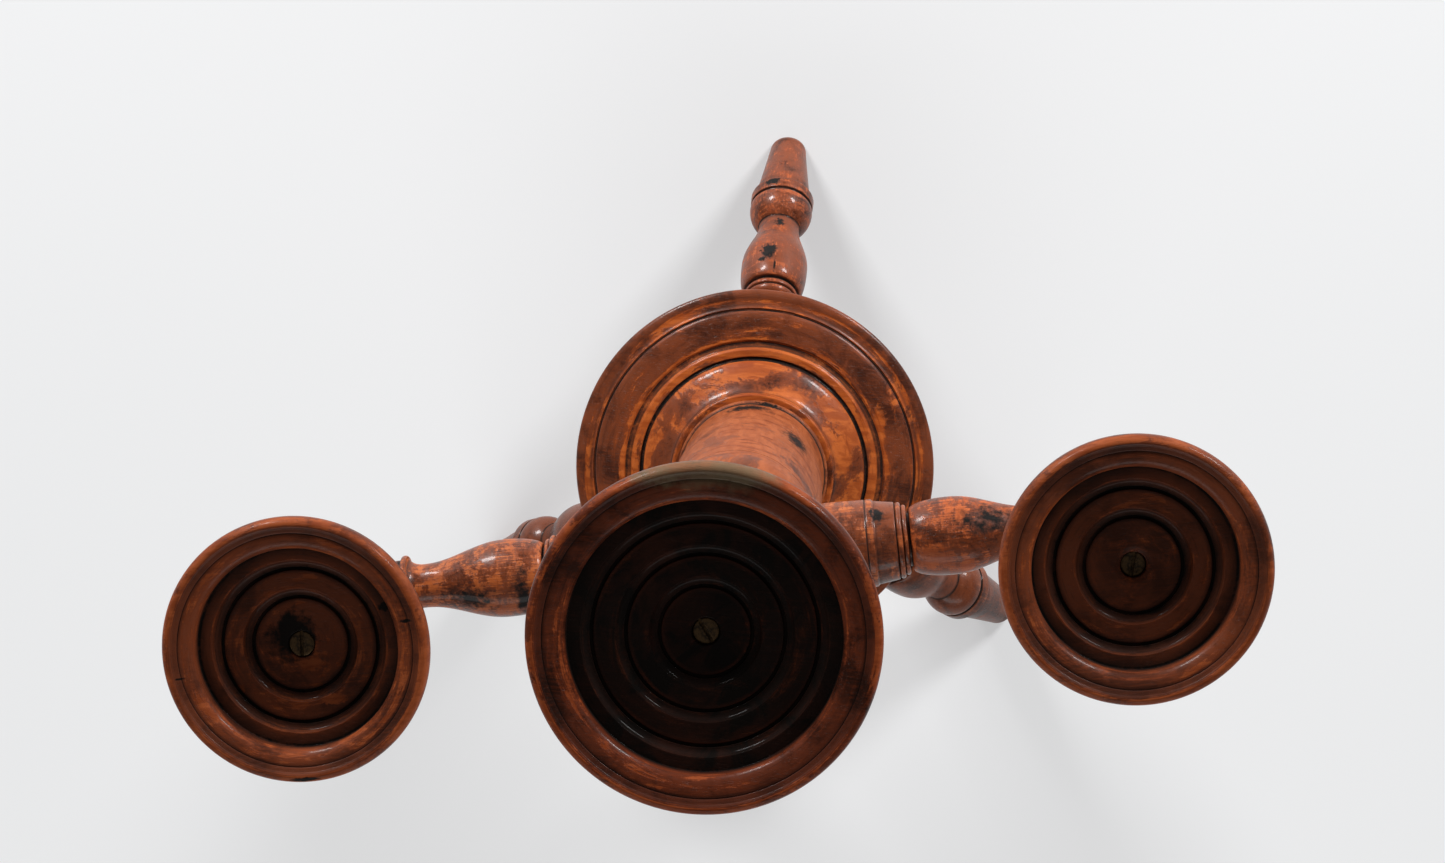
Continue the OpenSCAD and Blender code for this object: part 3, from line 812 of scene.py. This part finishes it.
def cup_outline(r, wall_r, boss_r, boss, arrises, tenon_r, shade_and_grime, sink, bevel):
    """From its rim at height 0: a rounded lip, an upright wall, a ledge and one step down at each arris.

    The argument before sink: how far painted shade and grime darken the floor; the wall's foot, the coves and
    the grooves get more painted shade still. sink: depth of the screw head's hole. bevel: rough width of the
    slope at that hole's edge."""
    floor = -LEDGE - len(arrises) * STEP_DROP
    line = Outline()
    line.add([(tenon_r, -boss), (boss_r, -boss), (boss_r, -boss + 3)], 0.2)
    line.add(ogee((boss_r + 0.6, -boss + 4), (r - 6, -10)), 0.3)
    line.add([(r - 3, -9.4), (r - 3, -8.4)], 0.3)
    line.add(quarter_out((r - 2.4, -8), (r, -4)), 0.4)
    line.add(quarter_in((r, -3.4), (r - 2.4, 0)), 0.62)
    line.add([(r - 2.9, -0.1)], 0.4)
    # Painted shade in the hollow behind the lip's crest
    line.add(ogee((r - 3.5, -0.5), (r - 5.2, -1.4)), 0.2, 0.25)
    line.add(quarter_out((r - 6.2, -1.2), (wall_r, WALL_TOP)), 0.42)
    # Painted shade where the wall meets the ledge
    line.add([(wall_r, -LEDGE), (wall_r - 0.4, -LEDGE)], 0.05, max(shade_and_grime, 0.8))
    # Each cove darkens with painted shade towards its foot, the groove below it is painted near-black, and
    # the floor takes the cup's own shade and grime
    for i, a in enumerate(arrises):
        z = -LEDGE - i * STEP_DROP
        foot = z - STEP_DROP
        line.add([(a + 0.6, z)], 0.2 if i == 0 else 0.4, shade_and_grime)
        cove = quarter_in((a, z), (a - 2.6, foot))
        for k, point in enumerate(cove):
            line.add([point], 0.45, shade_and_grime + (0.9 - shade_and_grime) * k / len(cove))
        line.add([(a - 2.6, foot - 1.1), (a - 3.6, foot - 1.1)], 0.0, 0.95)
        line.add([(a - 3.7, foot)], 0.3, 0.7)
        line.add([(a - 5.2, foot)], 0.4, shade_and_grime)
    hole = floor - sink
    line.add([(4.2 + bevel, floor), (HEAD_HOLE_R, floor - 0.7), (HEAD_HOLE_R, hole), (2.4, hole)], 0.4, shade_and_grime)
    line.add([(2.4, -boss + 9.8), (tenon_r, -boss + 9.8)], 0.1)
    return line


def head_seat(rim, arrises, sink):
    """Height of the underside of the screw's head."""
    return rim - LEDGE - len(arrises) * STEP_DROP - sink


def screw_piece(name, place):
    line = Outline()
    line.add([(0, -26), (1.4, -23), (2.1, -20), (2.1, 0), (3.9, 0)])
    line.add(quarter_out((3.9, 0.2), (4.2, 0.7)))
    line.add(quarter_in((4.2, 1.5), (3.6, 1.95)))
    line.add([(1.8, 2.0), (0, 2.0)])
    screw = turned(name, line, place, around=96, soften=0.12, uneven=0.02, longest=1.5)
    slot = box_tool((10, 1.1, 2), place @ at(0, 0, 2.1))
    combine(screw, slot, "DIFFERENCE")
    mark_local(screw, place)
    return screw


# ---------------------------------------------------------------- its woods and metal

disc_wood = wood(
    "disc_wood", along="x", wear=0.51, shine=0.12, bare=(0.45, 0.105, 0.018), mottle=0.5, fleck=0.7,
    grain=0.15, rings=2.0, ring_width=6.5, seed=1,
    patches=[
        ((12, 34, 110), 7, 0.5, (0.5, 1.2, 0.6)),
        ((38, 12, 107), 6, 0.5, (1.2, 0.45, 0.6)),
        ((-47, 13, 100), 5, 0.5, (1.1, 0.4, 0.6)),
        ((52, 20, 98.5), 6, 0.5, (1.4, 0.4, 0.6)),
    ],
)
column_wood = wood(
    "column_wood", wear=0.53, stain=(0.2, 0.055, 0.022), bare=(0.3, 0.078, 0.024), size=2.0, roughness=0.42,
    shine=0.03, mottle=0.3, fleck=0.2, grain=0.3, rings=2.0, ring_width=22, seed=2,
    shades=[
        ((-5.6, 30, 126), 5, 0.6, (0.4, 1, 0.8), 0.5),
        ((4, 31, 118.5), 3, 0.6, (0.35, 1, 1), 0.5),
        ((18.7, 24.4, 178), 5, 0.7, (0.6, 0.6, 0.25), 0.5),
    ],
)
leg_woods = {
    "leg_back": wood(
        "leg_wood_back", wear=0.48, size=0.9, stain=(0.18, 0.045, 0.017), bare=(0.38, 0.088, 0.024),
        mottle=0.5, fleck=0.7, seed=3,
        shades=[
            ((-14.4, 2.9, 125.6), 4.2, 0.5, (1, 1, 0.8), 0.6),
            ((-13.4, 5.5, 120.8), 2, 0.4, (1, 0.8, 1.5), 0.5),
            ((-14, -0.4, 117.2), 2.4, 0.5, (1, 3.4, 0.6), 0.5),
            ((-13.4, 4.9, 170.8), 3.6, 0.5, (1, 0.8, 1.4), 0.6),
            ((-9.6, -0.4, 148.7), 3, 0.6, (1, 1.2, 0.8), 0.6),
        ],
    ),
    "leg_left": wood("leg_wood_left", wear=0.34, size=0.8, bare=(0.25, 0.075, 0.03), mottle=0.6, seed=9),
    "leg_right": wood("leg_wood_right", wear=0.36, size=0.8, bare=(0.27, 0.08, 0.03), mottle=0.6, seed=13),
}
hub_wood = wood(
    "hub_wood", wear=0.52, size=0.8, bare=(0.4, 0.105, 0.028), mottle=0.7, seed=4,
    shades=[((-9.5, 12.1, 54), 4, 0.6, (1, 0.6, 1.2), 0.6)],
)
arm_woods = {
    -1: wood(
        "arm_wood_left", wear=0.53, size=1.1, roughness=0.32, shine=0.12, bare=(0.37, 0.092, 0.022),
        mottle=0.55, fleck=0.4, grain=1.4, seed=14,
        shades=[
            ((12, -6, 73), 9, 0.9, (0.7, 0.7, 1.6), 0.7),
            ((10.8, -4.5, 92), 6, 0.9, (1, 1, 0.4), 0.7),
        ],
    ),
    1: wood(
        "arm_wood_right", wear=0.48, size=1.1, roughness=0.34, shine=0.1, bare=(0.36, 0.078, 0.017),
        mottle=0.7, fleck=0.4, grain=1.4, seed=15,
        patches=[((-12.3, -5.7, 73), 6, 0.5, (1, 1, 0.7), 0.6)],
        shades=[((-10.4, 6, 95), 8, 0.9, (1, 1, 0.5), 0.7)],
    ),
}
stem_wood = wood("stem_wood", wear=0.5, size=0.7, seed=5)

side_cup_tones = dict(
    along="x", stain=(0.14, 0.035, 0.014), dark=(0.05, 0.014, 0.007), bare=(0.25, 0.058, 0.016),
    mottle=0.45, fleck=0.5, grain=0.6, rings=1.3, shine=0.05, glint=0.1,
)
cup_woods = {
    -1: wood(
        "cup_wood_left", wear=0.44, roughness=0.38, seed=6, **side_cup_tones,
        patches=[
            ((2.5, -6.7, -13), 3.6, 0.4, (0.7, 1.2, 1)),
            ((-21.8, -13.3, -10.8), 2.5, 0.5),
            ((9, -18.8, -10.8), 3, 0.5, (0.6, 1.3, 1)),
        ],
        shades=[
            ((-2, 3, -13), 11, 0.5),
            ((29.9, 10.6, -8.5), 3, 0.4, (1, 1.6, 1)),
            ((37.3, 6.4, -1.4), 2.4, 0.5, (1, 3, 1)),
            ((-38.7, -5.6, -1.2), 2, 0.5, (1, 4, 1)),
            ((-1.7, -42.4, -0.3), 4, 0.5, (0.6, 4, 1)),
        ],
    ),
    1: wood("cup_wood_right", wear=0.36, roughness=0.36, seed=7, **side_cup_tones),
}
centre_cup_wood = wood(
    "cup_wood_centre", along="x", wear=0.36, roughness=0.34, shine=0.05, glint=0.08, seed=8,
    stain=(0.085, 0.02, 0.009), dark=(0.02, 0.006, 0.0035), bare=(0.24, 0.052, 0.014),
    mottle=0.4, fleck=0.5, grain=0.6, rings=1.3,
    pale=[
        ((-6, 53, 0), 14, 0.7, (0.5, 1.6, 1)),
        ((8, 52.5, 0), 9, 0.7, (0.5, 1.6, 1)),
        ((-20, 49, 0), 7, 0.7, (0.6, 1.5, 1)),
    ],
)
brass = old_brass("old_brass")


# ---------------------------------------------------------------- its pieces

finish_piece(turned("moulded_disc", disc_outline(), around=288, closed=True, seed=1, uneven=0.2),
             "stand", "base_disc", disc_wood)
finish_piece(turned("turned_column", column_outline(), around=224, seed=2, uneven=0.2),
             "stand", "column", column_wood)

for number, (node, azimuth) in enumerate(LEG_TURNS.items()):
    leg = turned("turned_" + node, leg_outline(), leg_place(azimuth), around=144, seed=10 + number)
    foot_at = turn_z(azimuth) @ at(APEX_H * math.tan(math.radians(SPLAY)), 0, -30)
    combine(leg, box_tool((60, 60, 60), foot_at), "DIFFERENCE")
    mark_local(leg, leg_place(azimuth))
    finish_piece(leg, "stand", node, leg_woods[node])

finish_piece(turned("centre_upright", centre_stem_outline(), at(0, 0, STEM_FOOT_H), around=128, seed=20),
             "stand", "centre_stem", stem_wood)

hub = turned("hub_barrel", hub_outline(), arm_place(1), around=160, seed=21)
drum = Outline().add([(0, -HUB_HALF), (HUB_DRUM_R, -HUB_HALF), (HUB_DRUM_R, HUB_HALF), (0, HUB_HALF)], 0.3)
combine(hub, turned("drum", drum, at(0, 0, ARM_H), around=128), "UNION")
bore_end = HUB_HALF + 2
bore = Outline().add([(0, -bore_end), (SPIGOT_BORE_R, -bore_end), (SPIGOT_BORE_R, bore_end), (0, bore_end)])
combine(hub, turned("bore", bore, at(0, 0, ARM_H), around=96), "DIFFERENCE")
mark_local(hub, arm_place(1))
finish_piece(hub, "cross_arm", "hub", hub_wood)

SCREW_TURNS = {-1: 85, 1: 76}
SINKS = {-1: 2.2, 1: 4.0}
BEVELS = {-1: 0.4, 1: 2.0}
CENTRE_SCREW_TURN = 126
CENTRE_SINK = 2.6
CENTRE_BEVEL = 0.4
for side, word in ((-1, "left"), (1, "right")):
    arm = turned("arm_vase_" + word, arm_outline(), arm_place(side), around=144, seed=30 + side)
    finish_piece(arm, "cross_arm", "arm_" + word, arm_woods[side])
    stem = turned("upright_" + word, side_stem_outline(), stem_place(side, ARM_H), around=112, seed=40 + side)
    finish_piece(stem, "cross_arm", "stem_" + word, stem_wood)
    cup_line = cup_outline(**SIDE_CUP, sink=SINKS[side], bevel=BEVELS[side])
    cup = turned("dish_" + word, cup_line, stem_place(side, SIDE_RIM_H), around=256, closed=True,
                 soften=0.3, seed=50 + side)
    finish_piece(cup, "cross_arm", "cup_" + word, cup_woods[side])
    seat = head_seat(SIDE_RIM_H, SIDE_CUP["arrises"], SINKS[side])
    screw = screw_piece("slotted_screw_" + word, stem_place(side, seat) @ turn_z(SCREW_TURNS[side]))
    finish_piece(screw, "cross_arm", "screw_" + word, brass)

centre_line = cup_outline(**CENTRE_CUP, sink=CENTRE_SINK, bevel=CENTRE_BEVEL)
cup = turned("dish_centre", centre_line, at(0, 0, RIM_H), around=288, closed=True, soften=0.3, seed=60)
finish_piece(cup, "stand", "centre_cup", centre_cup_wood)
seat = head_seat(RIM_H, CENTRE_CUP["arrises"], CENTRE_SINK)
finish_piece(screw_piece("slotted_screw_centre", at(0, 0, seat) @ turn_z(CENTRE_SCREW_TURN)),
             "stand", "centre_screw", brass)

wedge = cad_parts["column_wedge"].data
wedge.materials.clear()
wedge.materials.append(stem_wood)


# ---------------------------------------------------------------- floor and light

def add_floor():
    bm = bmesh.new()
    bmesh.ops.create_grid(bm, x_segments=8, y_segments=8, size=6)
    mesh = bpy.data.meshes.new("floor")
    bm.to_mesh(mesh)
    bm.free()
    floor = link("floor", mesh)
    floor.location.z = -0.0005
    floor.data.materials.append(pale_paper("pale_paper"))


def add_soft_box(name, place, aim, size, power):
    data = bpy.data.lights.new(name, "AREA")
    data.shape = "RECTANGLE"
    data.size, data.size_y = size
    data.energy = power
    lamp = bpy.data.objects.new(name, data)
    bpy.context.scene.collection.objects.link(lamp)
    lamp.location = place
    lamp.rotation_mode = "QUATERNION"
    lamp.rotation_quaternion = (Vector(place) - Vector(aim)).to_track_quat("Z", "Y")


def add_world(tone, strength):
    world = bpy.data.worlds.new("studio")
    world.use_nodes = True
    background = world.node_tree.nodes["Background"]
    background.inputs[0].default_value = tone + (1.0,)
    background.inputs[1].default_value = strength
    bpy.context.scene.world = world


add_floor()
add_soft_box("soft_box_left", (-1.3, 1.9, 0.8), (0, 0, 0.3), (0.6, 0.45), 60)
add_soft_box("soft_box_right", (1.35, 1.85, 0.85), (0, 0, 0.3), (0.6, 0.45), 56)
add_soft_box("table_bounce", (0.0, -1.3, 0.95), (0, 0, 0.35), (2.0, 0.5), 11)
add_world((1.0, 0.94, 0.88), 0.15)
bpy.context.scene.view_settings.view_transform = "Standard"
